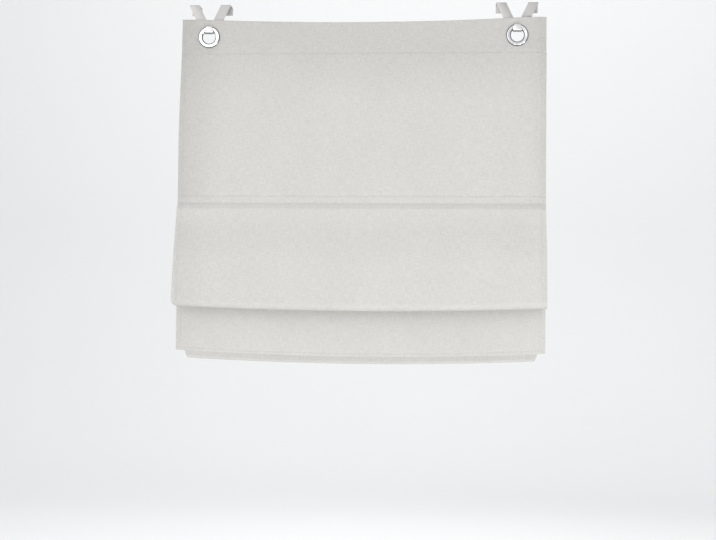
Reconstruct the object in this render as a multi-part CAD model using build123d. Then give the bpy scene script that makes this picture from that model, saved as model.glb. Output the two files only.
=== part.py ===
from build123d import *
import math
import os

# A roman blind that hangs by two forked hooks over the top edge of a window sash, with one pleat drawn up.
# Millimetres. X runs along the blind, +Y points to the window, +Z is up.
# The origin is midway between the hooks, in the middle plane of the cloth, level with the sash's top edge.

# Cloth
CLOTH_WIDTH = 600.0
CLOTH_THICKNESS = 0.8
TOP_EDGE_DROP = 25.0  # from the sash's top edge down to the cloth's top edge
TOP_HEM_DEPTH = 58.0
HEM_LAYER_PITCH = 1.2  # between the middles of the top hem's two layers
TOP_FOLD_RADIUS = 0.55
ROD_1_DROP = 297.5  # from the cloth's top edge to the first rod
STACK_PITCH = 21.0  # from rod to rod where the rods hang gathered
CHANNEL_HEIGHT = 13.0
FLAP_LENGTH = 176.5  # from the first rod to the bottom of the pleat
FLAP_FORWARD = 46.0  # how far the pleat's bottom stands in front of the header
FLAP_THICKNESS = 24.0  # between the middles of the pleat's two layers at its bottom
HAIRPIN_WIDTH = 3.0  # between the middles of the two layers above the gathered rod
HAIRPIN_RADIUS = 1.4
HAIRPIN_RISE = 7.5  # from the gathered rod up to the middle of the turned cloth
BULGE_FORWARD = 6.0  # how far the pleat's front steps out over the gathered rod
BULGE_DROP = 8.5
BULGE_RADIUS = 4.0
BOTTOM_DROP = 553.0  # from the cloth's top edge to its bottom edge, mid-width
BOTTOM_SAG = 8.0  # how much lower the bottom edge lies mid-width than at its sides

# Rod channels, rods and their caps
POCKET_WALL = 0.6
POCKET_INSET = 10.0  # from the cloth's side edge to the end of a rod channel
POCKET_LIP = 0.7
ROD_RADIUS = 2.0
ROD_CLEARANCE = 0.3
ROD_INSET = 4.0  # from the cloth's side edge to the rod's end
CAP_WALL = 0.65
CAP_FIT = 0.05
CAP_LENGTH = 6.0
CAP_END = 1.2
POCKET_FLAT = 4.4
POCKET_BEND_RADIUS = 1.5

# Bottom rod and the sleeve that hangs it from the bottom edge
SLEEVE_HEIGHT = 12.0
SLEEVE_INSET = 13.0
SLEEVE_WALL = 0.6
SLEEVE_GAP = 0.15
BOTTOM_ROD_RADIUS = 2.5
BOTTOM_CAP_WALL = 0.5
BOTTOM_ROD_INSET = 4.0  # from the sleeve's end to the rod's end

# Eyelets
EYELET_INSET = 47.0  # from the cloth's side edge to the eyelet's centre
EYELET_DROP = 29.0
EYELET_HOLE_RADIUS = 10.5
EYELET_OUTER_RADIUS = 18.0
EYELET_SHEET = 0.8
EYELET_DOME = 2.5  # from the cloth's face to the front of the dished ring
WASHER_OUTER_RADIUS = 16.5
WASHER_THICKNESS = 0.7
FLANGE_WIDTH = 2.7
BARREL_CLEARANCE = 0.3

# Hooks
HOOK_SHEET = 1.2
HOOK_SPREAD = 26.0  # from the hook's middle to an arm's middle, at the sash's top edge
HOOK_ARM_WIDTH = 15.0
HOOK_FRONT = 5.2  # from the cloth's middle plane to the front of the arms
HOOK_BEND_RADIUS = 1.8
SASH_THICKNESS = 20.0
LIP_DEPTH = 12.0
TONGUE_WIDTH = 14.0
TONGUE_CLEARANCE = 0.39  # between the tongue's upper corners and the eyelet's hole
TONGUE_RISE = 11.0
TONGUE_TIP_WIDTH = 9.0
TONGUE_GAP = 0.5  # between the upturned tongue and the dished ring

# Rings, lift cords and beads
RING_RADIUS = 5.0
RING_WIRE_RADIUS = 1.0
SEWN_GAP = 0.3
CORD_INSET = 110.0  # from the cloth's side edge to a lift cord
CORD_RADIUS = 0.7
CORD_Y = 10.2
HEADER_RING_DROP = 59.0
BEAD_RADIUS = 5.0
BEAD_BORE_RADIUS = 1.0
BEAD_BORE_DEPTH = 6.0
BEAD_CORD_DEPTH = 5.0

# Cord locks
LOCK_RADIUS = 6.5
LOCK_CORD_TO_MOUTH = 6.0
LOCK_CORD_TO_END = 9.0
LOCK_END_WALL = 1.8
LOCK_BORE_RADIUS = 4.6
BUTTON_RADIUS = 4.2
BUTTON_OUT = 4.0  # how far the button stands out of the mouth
BUTTON_BEHIND_CORD = 2.5
BUTTON_TRAVEL = 2.0
CORD_HOLE_CLEARANCE = 0.5
SPRING_RADIUS = 3.0
SPRING_WIRE_RADIUS = 0.3
SPRING_TURNS = 2.75
SPRING_END_GAP = 0.3

# Places worked out from the sizes above
HALF_WIDTH = CLOTH_WIDTH / 2
CLOTH_BACK = CLOTH_THICKNESS / 2
HEM_BACK = HEM_LAYER_PITCH + CLOTH_THICKNESS / 2
TOP_Z = -TOP_EDGE_DROP
FLAP_FOLD_RADIUS = 0.395 * FLAP_THICKNESS  # rounds both corners of the pleat's bottom
ROD_1_Z = TOP_Z - ROD_1_DROP
ROD_2_Z = ROD_1_Z - STACK_PITCH
BOTTOM_Z = TOP_Z - BOTTOM_DROP
CAP_RADIUS = ROD_RADIUS + CAP_FIT + CAP_WALL
ROD_END = HALF_WIDTH - ROD_INSET
ROD_Y = CLOTH_BACK + ROD_CLEARANCE + CAP_RADIUS
POCKET_BACK = ROD_Y + ROD_RADIUS + ROD_CLEARANCE + POCKET_WALL
RING_REACH = RING_RADIUS + RING_WIRE_RADIUS
EYELET_X = HALF_WIDTH - EYELET_INSET
EYELET_Z = TOP_Z - EYELET_DROP
CORD_X = HALF_WIDTH - CORD_INSET
HEADER_RING_Z = TOP_Z - HEADER_RING_DROP
LOCK_Z = HEADER_RING_Z + RING_WIRE_RADIUS + SEWN_GAP + LOCK_RADIUS
BEAD_Z = ROD_2_Z - RING_WIRE_RADIUS - SEWN_GAP - BEAD_RADIUS
SAG_RADIUS = (HALF_WIDTH**2 + BOTTOM_SAG**2) / (2 * BOTTOM_SAG)
SAG_CENTRE_Z = BOTTOM_Z + SAG_RADIUS
BOW_AXIS = Axis((0, 0, SAG_CENTRE_Z), (0, 1, 0))
BOTTOM_ROD_END = HALF_WIDTH - SLEEVE_INSET - BOTTOM_ROD_INSET  # along the bow, from mid-width
BOTTOM_CAP_RADIUS = BOTTOM_ROD_RADIUS + CAP_FIT + BOTTOM_CAP_WALL
SLEEVE_THICKNESS = 2 * (BOTTOM_CAP_RADIUS + ROD_CLEARANCE + SLEEVE_WALL)
SLEEVE_Z = BOTTOM_Z - SLEEVE_GAP - SLEEVE_HEIGHT / 2
BOTTOM_ROD_Z = SLEEVE_Z - SLEEVE_HEIGHT / 2 + SLEEVE_WALL + ROD_CLEARANCE + BOTTOM_CAP_RADIUS
TONGUE_REACH = math.sqrt((EYELET_HOLE_RADIUS - TONGUE_CLEARANCE) ** 2 - (TONGUE_WIDTH / 2) ** 2)
TONGUE_Z = EYELET_Z + TONGUE_REACH - HOOK_SHEET / 2  # the middle of the tongue where it passes the eyelet
FORK_SLOPE = HOOK_SPREAD / -EYELET_Z
STRAP_WIDTH = HOOK_ARM_WIDTH * math.hypot(1, FORK_SLOPE)  # an arm's width measured level
SIDES = {"left": -1, "right": 1}
FAR = 3 * (CLOTH_WIDTH + BOTTOM_DROP)  # reaches past the whole blind


def strip(points, radii, thickness):
    """The section of a bent sheet, from its middle line's corners and the radius of each bend."""
    corners = [Vector(*p) for p in points]
    runs = [(b - a).normalized() for a, b in zip(corners, corners[1:])]
    bends = [0, *radii, 0]
    left, right = [], []
    for place, (corner, bend) in enumerate(zip(corners, bends)):
        before = runs[max(place - 1, 0)]
        after = runs[min(place, len(runs) - 1)]
        normal_before = Vector(-before.Y, before.X)
        normal_after = Vector(-after.Y, after.X)
        mitre = (normal_before + normal_after).normalized()
        reach = mitre * (thickness / 2 / mitre.dot(normal_before))
        turn = math.copysign(thickness / 2, before.X * after.Y - before.Y * after.X)
        left.append((corner + reach, bend - turn if bend else 0))
        right.append((corner - reach, bend + turn if bend else 0))
    outline = left + right[::-1]
    return make_face(FilletPolyline(*[p for p, _ in outline], radius=[r for _, r in outline], close=True))


def along_x(section, half_length):
    """A section drawn in Y and Z, run along X to both sides of the middle."""
    return extrude(Plane.YZ * section, amount=half_length, both=True)


def prism(outline, y_low, y_high):
    """An outline drawn in X and Z, run from y_low to y_high."""
    return extrude(Plane.XZ.offset(-y_high) * outline, amount=y_high - y_low)


def polygon(*points):
    return make_face(Polyline(*points, close=True))


def rod_along_x(radius, x_low, x_high):
    return Pos((x_low + x_high) / 2, 0, 0) * Rot(0, 90, 0) * Cylinder(radius, x_high - x_low)


def bowed(section, half_length):
    """A section drawn in Y and Z at mid-width, run along the bowed bottom edge."""
    half_turn = math.degrees(half_length / SAG_RADIUS)
    start = (Plane.YZ * section).rotate(BOW_AXIS, -half_turn)
    return revolve(start, BOW_AXIS, 2 * half_turn)


def write(name, shape):
    solid = shape.solid() if len(shape.solids()) == 1 else shape
    solid.label = name
    export_step(solid, f"parts/{name}.step")


def blind_cloth():
    """One sheet: up from the top hem's end, over the top edge, down, round the pleat and down again."""
    half = CLOTH_THICKNESS / 2
    flap_z = ROD_1_Z - FLAP_LENGTH + half
    channel_end = ROD_1_Z - CHANNEL_HEIGHT / 2 - half
    hairpin_top = ROD_2_Z + HAIRPIN_RISE
    hairpin_foot = ROD_2_Z - CHANNEL_HEIGHT / 2
    corners = [
        (HEM_LAYER_PITCH, TOP_Z - TOP_HEM_DEPTH),
        (HEM_LAYER_PITCH, TOP_Z - half),
        (0, TOP_Z - half),
        (0, channel_end),
        (-BULGE_FORWARD, channel_end - BULGE_DROP),
        (-FLAP_FORWARD, flap_z),
        (-FLAP_FORWARD + FLAP_THICKNESS, flap_z),
        (-HAIRPIN_WIDTH, hairpin_foot),
        (-HAIRPIN_WIDTH, hairpin_top),
        (0, hairpin_top),
        (0, BOTTOM_Z),
    ]
    bends = [
        TOP_FOLD_RADIUS,
        TOP_FOLD_RADIUS,
        BULGE_RADIUS,
        BULGE_RADIUS,
        FLAP_FOLD_RADIUS,
        FLAP_FOLD_RADIUS,
        BULGE_RADIUS,
        HAIRPIN_RADIUS,
        HAIRPIN_RADIUS,
    ]
    cloth = along_x(strip(corners, bends, CLOTH_THICKNESS), HALF_WIDTH)
    for side in SIDES.values():
        hole = Circle(EYELET_HOLE_RADIUS + EYELET_SHEET + BARREL_CLEARANCE)
        cloth -= prism(Pos(side * EYELET_X, EYELET_Z) * hole, -CLOTH_THICKNESS, HEM_BACK + 1)
    below = Pos(0, BOTTOM_Z) * Rectangle(FAR, 4 * BOTTOM_SAG) - Pos(0, SAG_CENTRE_Z) * Circle(SAG_RADIUS)
    return cloth - prism(below, -CLOTH_THICKNESS, CLOTH_THICKNESS)


def rod_pocket(z):
    """A strip of tape sewn along both edges to the back of the cloth, standing off it round the rod."""
    half = CHANNEL_HEIGHT / 2
    middle_y = POCKET_BACK - POCKET_WALL / 2
    lip_y = CLOTH_BACK + POCKET_LIP
    corners = [
        (CLOTH_BACK, z + half - POCKET_WALL / 2),
        (lip_y, z + half - POCKET_WALL / 2),
        (middle_y, z + POCKET_FLAT / 2),
        (middle_y, z - POCKET_FLAT / 2),
        (lip_y, z - half + POCKET_WALL / 2),
        (CLOTH_BACK, z - half + POCKET_WALL / 2),
    ]
    bends = [POCKET_WALL / 2 + 0.1, POCKET_BEND_RADIUS, POCKET_BEND_RADIUS, POCKET_WALL / 2 + 0.1]
    return along_x(strip(corners, bends, POCKET_WALL), HALF_WIDTH - POCKET_INSET)


def channel_rod(z):
    return Pos(0, ROD_Y, z) * rod_along_x(ROD_RADIUS, -ROD_END, ROD_END)


def rod_cap(z, side):
    """A cup pushed over the end of a rod."""
    outer_end = ROD_END + CAP_FIT + CAP_END
    cup = rod_along_x(CAP_RADIUS, outer_end - CAP_LENGTH, outer_end)
    cup = chamfer(cup.faces().sort_by(Axis.X)[-1].edges(), CAP_WALL / 2)
    cup -= rod_along_x(ROD_RADIUS + CAP_FIT, outer_end - CAP_LENGTH, ROD_END + CAP_FIT)
    placed = Pos(0, ROD_Y, z) * cup
    return placed if side > 0 else mirror(placed, Plane.YZ)


def bottom_sleeve():
    """A flat tube of cloth sewn under the bottom edge, which holds the bottom rod."""
    outer = RectangleRounded(SLEEVE_THICKNESS, SLEEVE_HEIGHT, SLEEVE_THICKNESS / 2 - 0.1)
    inner = RectangleRounded(
        SLEEVE_THICKNESS - 2 * SLEEVE_WALL,
        SLEEVE_HEIGHT - 2 * SLEEVE_WALL,
        SLEEVE_THICKNESS / 2 - SLEEVE_WALL - 0.1,
    )
    return bowed(Pos(0, SLEEVE_Z) * (outer - inner), HALF_WIDTH - SLEEVE_INSET)


def bottom_rod():
    return bowed(Pos(0, BOTTOM_ROD_Z) * Circle(BOTTOM_ROD_RADIUS), BOTTOM_ROD_END)


def bottom_rod_cap(side):
    """A cup over the end of the bowed rod, turned to the rod's slope there."""
    cup = rod_along_x(BOTTOM_CAP_RADIUS, CAP_END + CAP_FIT - CAP_LENGTH, CAP_END + CAP_FIT)
    cup = chamfer(cup.faces().sort_by(Axis.X)[-1].edges(), BOTTOM_CAP_WALL / 2)
    cup -= rod_along_x(BOTTOM_ROD_RADIUS + CAP_FIT, CAP_END + CAP_FIT - CAP_LENGTH, CAP_FIT)
    placed = Pos(0, 0, BOTTOM_ROD_Z) * cup
    placed = placed.rotate(BOW_AXIS, -math.degrees(BOTTOM_ROD_END / SAG_RADIUS))
    return placed if side > 0 else mirror(placed, Plane.YZ)


def front_eyelet():
    """A dished ring with its barrel through the cloth, rolled over the back washer. Drawn as radius and Y."""
    barrel = EYELET_HOLE_RADIUS + EYELET_SHEET / 2
    rim = EYELET_OUTER_RADIUS - EYELET_SHEET / 2
    face_y = -CLOTH_BACK - EYELET_DOME + EYELET_SHEET / 2
    width = rim - barrel
    back_y = HEM_BACK + WASHER_THICKNESS + EYELET_SHEET / 2
    corners = [
        (rim, -CLOTH_BACK),
        (rim, -CLOTH_BACK - 0.5 * EYELET_DOME),
        (rim - 0.28 * width, face_y),
        (barrel + 0.3 * width, face_y),
        (barrel, -CLOTH_BACK - 0.2 * EYELET_DOME),
        (barrel, back_y),
        (barrel + FLANGE_WIDTH, back_y),
    ]
    bends = [0.8, 1.4, 1.4, 0.8, EYELET_SHEET / 2 + 0.1]
    return revolve(strip(corners, bends, EYELET_SHEET), Axis.Y)


def back_washer():
    inner = EYELET_HOLE_RADIUS + EYELET_SHEET + BARREL_CLEARANCE
    ring = Circle(WASHER_OUTER_RADIUS) - Circle(inner)
    return prism(ring, HEM_BACK, HEM_BACK + WASHER_THICKNESS)


def fork_outline():
    """The forked plate seen from the front: two arms that meet above a short neck."""
    half_arm = STRAP_WIDTH / 2
    neck = TONGUE_WIDTH / 2
    shoulder_z = TONGUE_Z + 1.5 * HOOK_SHEET
    above = 2 * HOOK_SHEET
    right = [
        (HOOK_SPREAD + half_arm, above),
        (HOOK_SPREAD + half_arm, 0),
        (FORK_SLOPE * (shoulder_z - EYELET_Z) + half_arm, shoulder_z),
        (neck, shoulder_z),
        (neck, TONGUE_Z - 2 * HOOK_SHEET),
    ]
    left = [(-x, z) for x, z in reversed(right)]
    notch_z = EYELET_Z + half_arm / FORK_SLOPE
    notch = [
        (-HOOK_SPREAD + half_arm, above),
        (-HOOK_SPREAD + half_arm, 0),
        (0, notch_z),
        (HOOK_SPREAD - half_arm, 0),
        (HOOK_SPREAD - half_arm, above),
    ]
    return polygon(*right, *left, *notch)


def strap_outlines():
    """The two straps over the sash, seen from the front."""
    return [Pos(side * HOOK_SPREAD, 0) * Rectangle(STRAP_WIDTH, FAR) for side in SIDES.values()]


def tongue_outline():
    """The tongue seen from the front, narrowing to its upturned tip."""
    half = TONGUE_WIDTH / 2
    tip = TONGUE_TIP_WIDTH / 2
    top = TONGUE_Z + TONGUE_RISE
    outline = polygon(
        (-half, TONGUE_Z - 2 * HOOK_SHEET),
        (half, TONGUE_Z - 2 * HOOK_SHEET),
        (half, TONGUE_Z + 0.45 * TONGUE_RISE),
        (tip, top),
        (-tip, top),
        (-half, TONGUE_Z + 0.45 * TONGUE_RISE),
    )
    return fillet(outline.vertices().group_by(Axis.Y)[-1], 0.2 * TONGUE_TIP_WIDTH)


def sash_hook():
    """One bent plate: a lip behind the sash, two arms in front of it, and a tongue through the eyelet."""
    half = HOOK_SHEET / 2
    front_y = HOOK_FRONT + half
    back_y = HOOK_FRONT + HOOK_SHEET + SASH_THICKNESS + half
    tip_y = -CLOTH_BACK - EYELET_DOME - TONGUE_GAP - half
    corners = [
        (back_y, -LIP_DEPTH),
        (back_y, half),
        (front_y, half),
        (front_y, TONGUE_Z),
        (tip_y, TONGUE_Z),
        (tip_y, TONGUE_Z + TONGUE_RISE),
    ]
    bends = [half + 0.2, half + 0.2, HOOK_BEND_RADIUS, HOOK_BEND_RADIUS]
    plate = along_x(strip(corners, bends, HOOK_SHEET), HOOK_SPREAD + HOOK_ARM_WIDTH)
    behind = HOOK_FRONT + HOOK_SHEET
    ahead = HOOK_FRONT - HOOK_BEND_RADIUS
    arms = plate & prism(fork_outline(), ahead, behind)
    tongue = plate & prism(tongue_outline(), -FAR, ahead)
    hook = arms + tongue
    for strap in strap_outlines():
        hook += plate & prism(strap, behind, FAR)
    return hook


def sewn_ring(x, back, z):
    return Pos(x, back + SEWN_GAP + RING_REACH, z) * Torus(RING_RADIUS, RING_WIRE_RADIUS)


def lift_cord(x):
    """The stretch between the cord lock and the bead under the lowest ring."""
    top = LOCK_Z + LOCK_RADIUS
    low = BEAD_Z + BEAD_RADIUS - BEAD_CORD_DEPTH
    return Pos(x, CORD_Y, (top + low) / 2) * Cylinder(CORD_RADIUS, top - low)


def cord_bead(x):
    bore = Pos(0, 0, BEAD_RADIUS - BEAD_BORE_DEPTH / 2) * Cylinder(BEAD_BORE_RADIUS, BEAD_BORE_DEPTH)
    return Pos(x, CORD_Y, BEAD_Z) * (Sphere(BEAD_RADIUS) - bore)


def lock_housing():
    """A cup on its side, mouth outwards, with the cord's hole straight down through it."""
    housing = rod_along_x(LOCK_RADIUS, -LOCK_CORD_TO_END, LOCK_CORD_TO_MOUTH)
    housing = fillet(housing.edges().filter_by(GeomType.CIRCLE), 1.0)
    housing -= rod_along_x(LOCK_BORE_RADIUS, LOCK_END_WALL - LOCK_CORD_TO_END, LOCK_CORD_TO_MOUTH + 1)
    return housing - Cylinder(CORD_RADIUS + CORD_HOLE_CLEARANCE, 3 * LOCK_RADIUS)


def lock_button():
    """The plunger, slotted so that the cord passes it at both ends of its travel."""
    button = rod_along_x(BUTTON_RADIUS, -BUTTON_BEHIND_CORD, LOCK_CORD_TO_MOUTH + BUTTON_OUT)
    button = fillet(button.faces().sort_by(Axis.X)[-1].edges(), 1.2)
    reach = CORD_RADIUS + CORD_HOLE_CLEARANCE
    slot = Pos(BUTTON_TRAVEL / 2, 0, 0) * SlotCenterToCenter(BUTTON_TRAVEL, 2 * reach)
    return button - extrude(slot, amount=2 * BUTTON_RADIUS, both=True)


def lock_spring():
    """A few coils between the housing's closed end and the plunger."""
    low = LOCK_END_WALL - LOCK_CORD_TO_END + SPRING_END_GAP + SPRING_WIRE_RADIUS
    high = -BUTTON_BEHIND_CORD - SPRING_END_GAP - SPRING_WIRE_RADIUS
    path = Helix((high - low) / SPRING_TURNS, high - low, SPRING_RADIUS)
    section = Plane(origin=path @ 0, z_dir=path % 0) * Circle(SPRING_WIRE_RADIUS)
    return Pos(low, 0, 0) * Rot(0, 90, 0) * sweep(section, path=path, is_frenet=True)


def place_lock(shape, side):
    placed = Pos(CORD_X, CORD_Y, LOCK_Z) * shape
    return placed if side > 0 else mirror(placed, Plane.YZ)


def main():
    os.makedirs("parts", exist_ok=True)
    write("blind_cloth", blind_cloth())
    write("bottom_sleeve", bottom_sleeve())
    write("bottom_rod", bottom_rod())
    for number, z in ((1, ROD_1_Z), (2, ROD_2_Z)):
        write(f"rod_pocket_{number}", rod_pocket(z))
        write(f"channel_rod_{number}", channel_rod(z))
    for name, side in SIDES.items():
        x = side * CORD_X
        eyelet = Pos(side * EYELET_X, 0, EYELET_Z)
        write(f"{name}_front_eyelet", eyelet * front_eyelet())
        write(f"{name}_back_washer", eyelet * back_washer())
        write(f"{name}_sash_hook", Pos(side * EYELET_X, 0, 0) * sash_hook())
        write(f"{name}_bottom_rod_cap", bottom_rod_cap(side))
        write(f"{name}_header_ring", sewn_ring(x, HEM_BACK, HEADER_RING_Z))
        for number, z in ((1, ROD_1_Z), (2, ROD_2_Z)):
            write(f"{name}_rod_{number}_cap", rod_cap(z, side))
            write(f"{name}_rod_{number}_ring", sewn_ring(x, POCKET_BACK, z))
        write(f"{name}_lift_cord", lift_cord(x))
        write(f"{name}_cord_bead", cord_bead(x))
        write(f"{name}_lock_housing", place_lock(lock_housing(), side))
        write(f"{name}_lock_button", place_lock(lock_button(), side))
        write(f"{name}_lock_spring", place_lock(lock_spring(), side))


main()
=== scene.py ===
import bisect
import bmesh
import bpy
import math
from mathutils import Matrix, Quaternion, Vector, noise


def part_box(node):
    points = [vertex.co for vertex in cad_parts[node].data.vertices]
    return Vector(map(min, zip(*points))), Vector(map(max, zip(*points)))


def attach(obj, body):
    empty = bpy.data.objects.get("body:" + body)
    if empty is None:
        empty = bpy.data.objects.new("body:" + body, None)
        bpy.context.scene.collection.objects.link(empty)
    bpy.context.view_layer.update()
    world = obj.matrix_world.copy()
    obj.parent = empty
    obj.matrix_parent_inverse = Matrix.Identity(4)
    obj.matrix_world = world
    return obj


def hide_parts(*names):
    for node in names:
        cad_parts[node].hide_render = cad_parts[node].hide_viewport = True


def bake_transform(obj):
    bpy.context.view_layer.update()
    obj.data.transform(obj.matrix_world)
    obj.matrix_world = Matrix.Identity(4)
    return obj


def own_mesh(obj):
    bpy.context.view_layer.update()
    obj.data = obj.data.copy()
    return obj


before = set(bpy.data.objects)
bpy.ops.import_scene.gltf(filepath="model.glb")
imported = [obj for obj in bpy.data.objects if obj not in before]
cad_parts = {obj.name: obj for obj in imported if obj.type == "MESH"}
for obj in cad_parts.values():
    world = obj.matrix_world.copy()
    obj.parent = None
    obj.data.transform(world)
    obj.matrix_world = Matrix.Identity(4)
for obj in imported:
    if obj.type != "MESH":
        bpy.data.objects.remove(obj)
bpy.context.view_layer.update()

# A roman blind on two forked sash hooks, its one pleat drawn up.
# Metres. X runs along the blind, +Y points to the window, +Z is up.
MM = 0.001
SIDES = {"left": -1, "right": 1}


def middle(node):
    low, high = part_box(node)
    return (low + high) / 2


cloth_low, cloth_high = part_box("blind_cloth")
HALF_WIDTH = cloth_high.x
TOP_Z = cloth_high.z
BOTTOM_Z = cloth_low.z
HEM_END_Z = TOP_Z - 58 * MM
EYELET = middle("right_front_eyelet")
ROD_1 = middle("channel_rod_1")
ROD_2 = middle("channel_rod_2")
CORD = middle("right_lift_cord")
CORD_TOP_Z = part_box("right_lift_cord")[1].z
CORD_FOOT_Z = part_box("right_lift_cord")[0].z
SLEEVE_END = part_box("bottom_sleeve")[1].x
SLEEVE_FOOT_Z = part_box("bottom_sleeve")[0].z
POCKET_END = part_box("rod_pocket_1")[1].x
POCKET_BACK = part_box("rod_pocket_1")[1].y
HOOK_FOOT_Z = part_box("right_sash_hook")[0].z

# Cloth
CLOTH_THICKNESS = 0.8 * MM
TAPE_THICKNESS = 0.5 * MM
SIDE_HEM_DEPTH = 9 * MM
SIDE_FOLD = 0.7 * MM  # radius of the side hem's turned edge
TOP_SAG = 5.5 * MM  # of the top edge between the eyelets
TOP_SAG_FADE = 56 * MM  # it is gone this far down
CORNER_DRAW = 2.5 * MM  # how far the top left corner is drawn in by its eyelet
CORNER_DRAW_FADE = 230 * MM
LEFT_FLARE = 2.5 * MM  # how far the left edge stands out from here down
LEFT_FLARE_FADE = 200 * MM
FLAP_SAG = 6.4 * MM  # how much lower the pleat's foot hangs at its middle than at its ends
FLAP_LEVEL = 0.79  # the foot is on its line of fall where (x / HALF_WIDTH) squared is this
FLAP_END_ROUND = 6 * MM  # how far the foot's left end is rounded up
BOTTOM_SAG = 8 * MM
BOW_RADIUS = (HALF_WIDTH**2 + BOTTOM_SAG**2) / (2 * BOTTOM_SAG)
BOW_FADE = 20 * MM
EDGE_TURN = 2.0 * MM  # how far the side edges curl back
BROAD_WAVE = 1.9 * MM  # slack between the rods, from broad waves to fine ones
SOFT_WAVE = 0.7 * MM
FINE_WAVE = 0.16 * MM
SEAM_WIDTH = 1.1 * MM
SEAM_DIP = 0.3 * MM
SEAM_PUCKER = 0.32 * MM
SIDE_DIP = 0.25 * MM
SIDE_PUCKER = 0.3 * MM
PUCKER_SPREAD = 6 * MM
TAPE_RUMPLE = 0.35 * MM
STITCH_PITCH = 3.3 * MM
STITCH_FACE = -0.45 * MM  # stitches lie on the cloth's face
WIDE_COLUMN = 3.5 * MM
FINE_COLUMN = 2.5 * MM
EYELET_CUT = 13.4 * MM  # radius of the hole in the cloth, hidden by the ring
SEAM_Z = HEM_END_Z + 0.4 * MM
CHANNEL_TOP_Z = ROD_1.z + 6.5 * MM
CHANNEL_FOOT_Z = ROD_1.z - 6.5 * MM


# ---------------------------------------------------------------- lines and rows

def smooth(t):
    t = min(1.0, max(0.0, t))
    return t * t * (3 - 2 * t)


def hump(distance, width):
    return math.exp(-((distance / width) ** 2))


def rounded_line(corners, bends):
    """Straight runs joined by arcs: one bend radius for each inner corner."""
    corners = [Vector(c) for c in corners]
    line = [corners[0]]
    for before, corner, after, bend in zip(corners, corners[1:], corners[2:], bends):
        arrive = (corner - before).normalized()
        leave = (after - corner).normalized()
        turn = arrive.angle(leave)
        centre = corner + (leave - arrive).normalized() * bend / math.cos(turn / 2)
        spoke = corner - arrive * bend * math.tan(turn / 2) - centre
        way = math.copysign(1, arrive.cross(leave))
        steps = max(4, math.ceil(turn / math.radians(11)))
        for k in range(steps + 1):
            line.append(centre + Matrix.Rotation(way * turn * k / steps, 2) @ spoke)
    line.append(corners[-1])
    return line


class Fall:
    """A line of cloth seen from its side edge, as (y, z) by distance along it."""

    def __init__(self, corners, bends):
        self.points = rounded_line(corners, bends)
        self.marks = [0.0]
        for a, b in zip(self.points, self.points[1:]):
            self.marks.append(self.marks[-1] + (b - a).length)
        self.length = self.marks[-1]

    def at(self, s):
        s = min(self.length, max(0.0, s))
        k = min(max(bisect.bisect_right(self.marks, s), 1), len(self.marks) - 1)
        gap = self.marks[k] - self.marks[k - 1]
        share = (s - self.marks[k - 1]) / max(gap, 1e-9)
        return self.points[k - 1].lerp(self.points[k], share)

    def behind(self, s):
        """The way from the cloth's face to its wrong side."""
        along = (self.at(s + 0.5 * MM) - self.at(s - 0.5 * MM)).normalized()
        return Vector((-along.y, along.x))

    def where(self, z, after=0.0):
        """The first distance past `after` at which the line crosses the height z."""
        for k in range(1, len(self.marks)):
            a, b = self.points[k - 1], self.points[k]
            if self.marks[k] > after and (a.y - z) * (b.y - z) <= 0 and a.y != b.y:
                gap = self.marks[k] - self.marks[k - 1]
                s = self.marks[k - 1] + (a.y - z) / (a.y - b.y) * gap
                if s > after:
                    return s
        return self.length


FLAP_FOOT_Z = ROD_1.z - 176.1 * MM
fall = Fall(
    [
        # up the back layer of the top hem and over the top edge
        (1.2 * MM, HEM_END_Z),
        (1.2 * MM, TOP_Z - 0.4 * MM),
        (0, TOP_Z - 0.4 * MM),
        # down the header and the channel, then forward and down the pleat's front
        (0, CHANNEL_FOOT_Z - 0.4 * MM),
        (-6 * MM, CHANNEL_FOOT_Z - 8.9 * MM),
        (-30 * MM, ROD_1.z - 92 * MM),
        # round the pleat's foot and up its inner side
        (-46 * MM, FLAP_FOOT_Z),
        (-22 * MM, FLAP_FOOT_Z),
        (-3 * MM, ROD_2.z - 6.5 * MM),
        # over above the second rod and down the lower panel
        (-3 * MM, ROD_2.z + 7.5 * MM),
        (0, ROD_2.z + 7.5 * MM),
        (0, BOTTOM_Z),
    ],
    [0.55 * MM, 0.55 * MM, 4 * MM, 6 * MM, 200 * MM, 9.4 * MM, 9.4 * MM, 8 * MM, 1.4 * MM, 1.4 * MM],
)
# Distances along the fall
S_TOP = fall.where(TOP_Z - 0.5 * MM) + 1.1 * MM
S_SEAM = fall.where(SEAM_Z, S_TOP)
S_CHANNEL = fall.where(CHANNEL_TOP_Z + 1.5 * MM, S_TOP)
S_FLAP = fall.where(CHANNEL_FOOT_Z - 1.2 * MM, S_TOP)
S_FOLD = fall.where(FLAP_FOOT_Z + 12 * MM, S_FLAP)
S_FOOT = fall.where(FLAP_FOOT_Z + 0.2 * MM, S_FLAP)
S_HAIRPIN = fall.where(ROD_2.z + 7.4 * MM, S_FOLD)
S_ROD_2 = fall.where(ROD_2.z, S_HAIRPIN + 2 * MM)
S_LOWER = fall.where(FLAP_FOOT_Z, S_ROD_2)
CROSS_SEAMS = [
    fall.where(HEM_END_Z + 1.4 * MM, S_TOP),
    fall.where(CHANNEL_TOP_Z - 0.8 * MM, S_TOP),
    fall.where(CHANNEL_FOOT_Z + 0.8 * MM, S_TOP),
    S_ROD_2 - 5.7 * MM,
    S_ROD_2 + 5.7 * MM,
    fall.length - 5 * MM,
]
SIDE_SEAM = HALF_WIDTH - SIDE_HEM_DEPTH + 1.2 * MM


def reach(s):
    """How far down the cloth a point is from the top edge, the same for both layers of the hem."""
    return abs(s - S_TOP)


def bow(x):
    return BOW_RADIUS - math.sqrt(BOW_RADIUS**2 - x * x)


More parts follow.
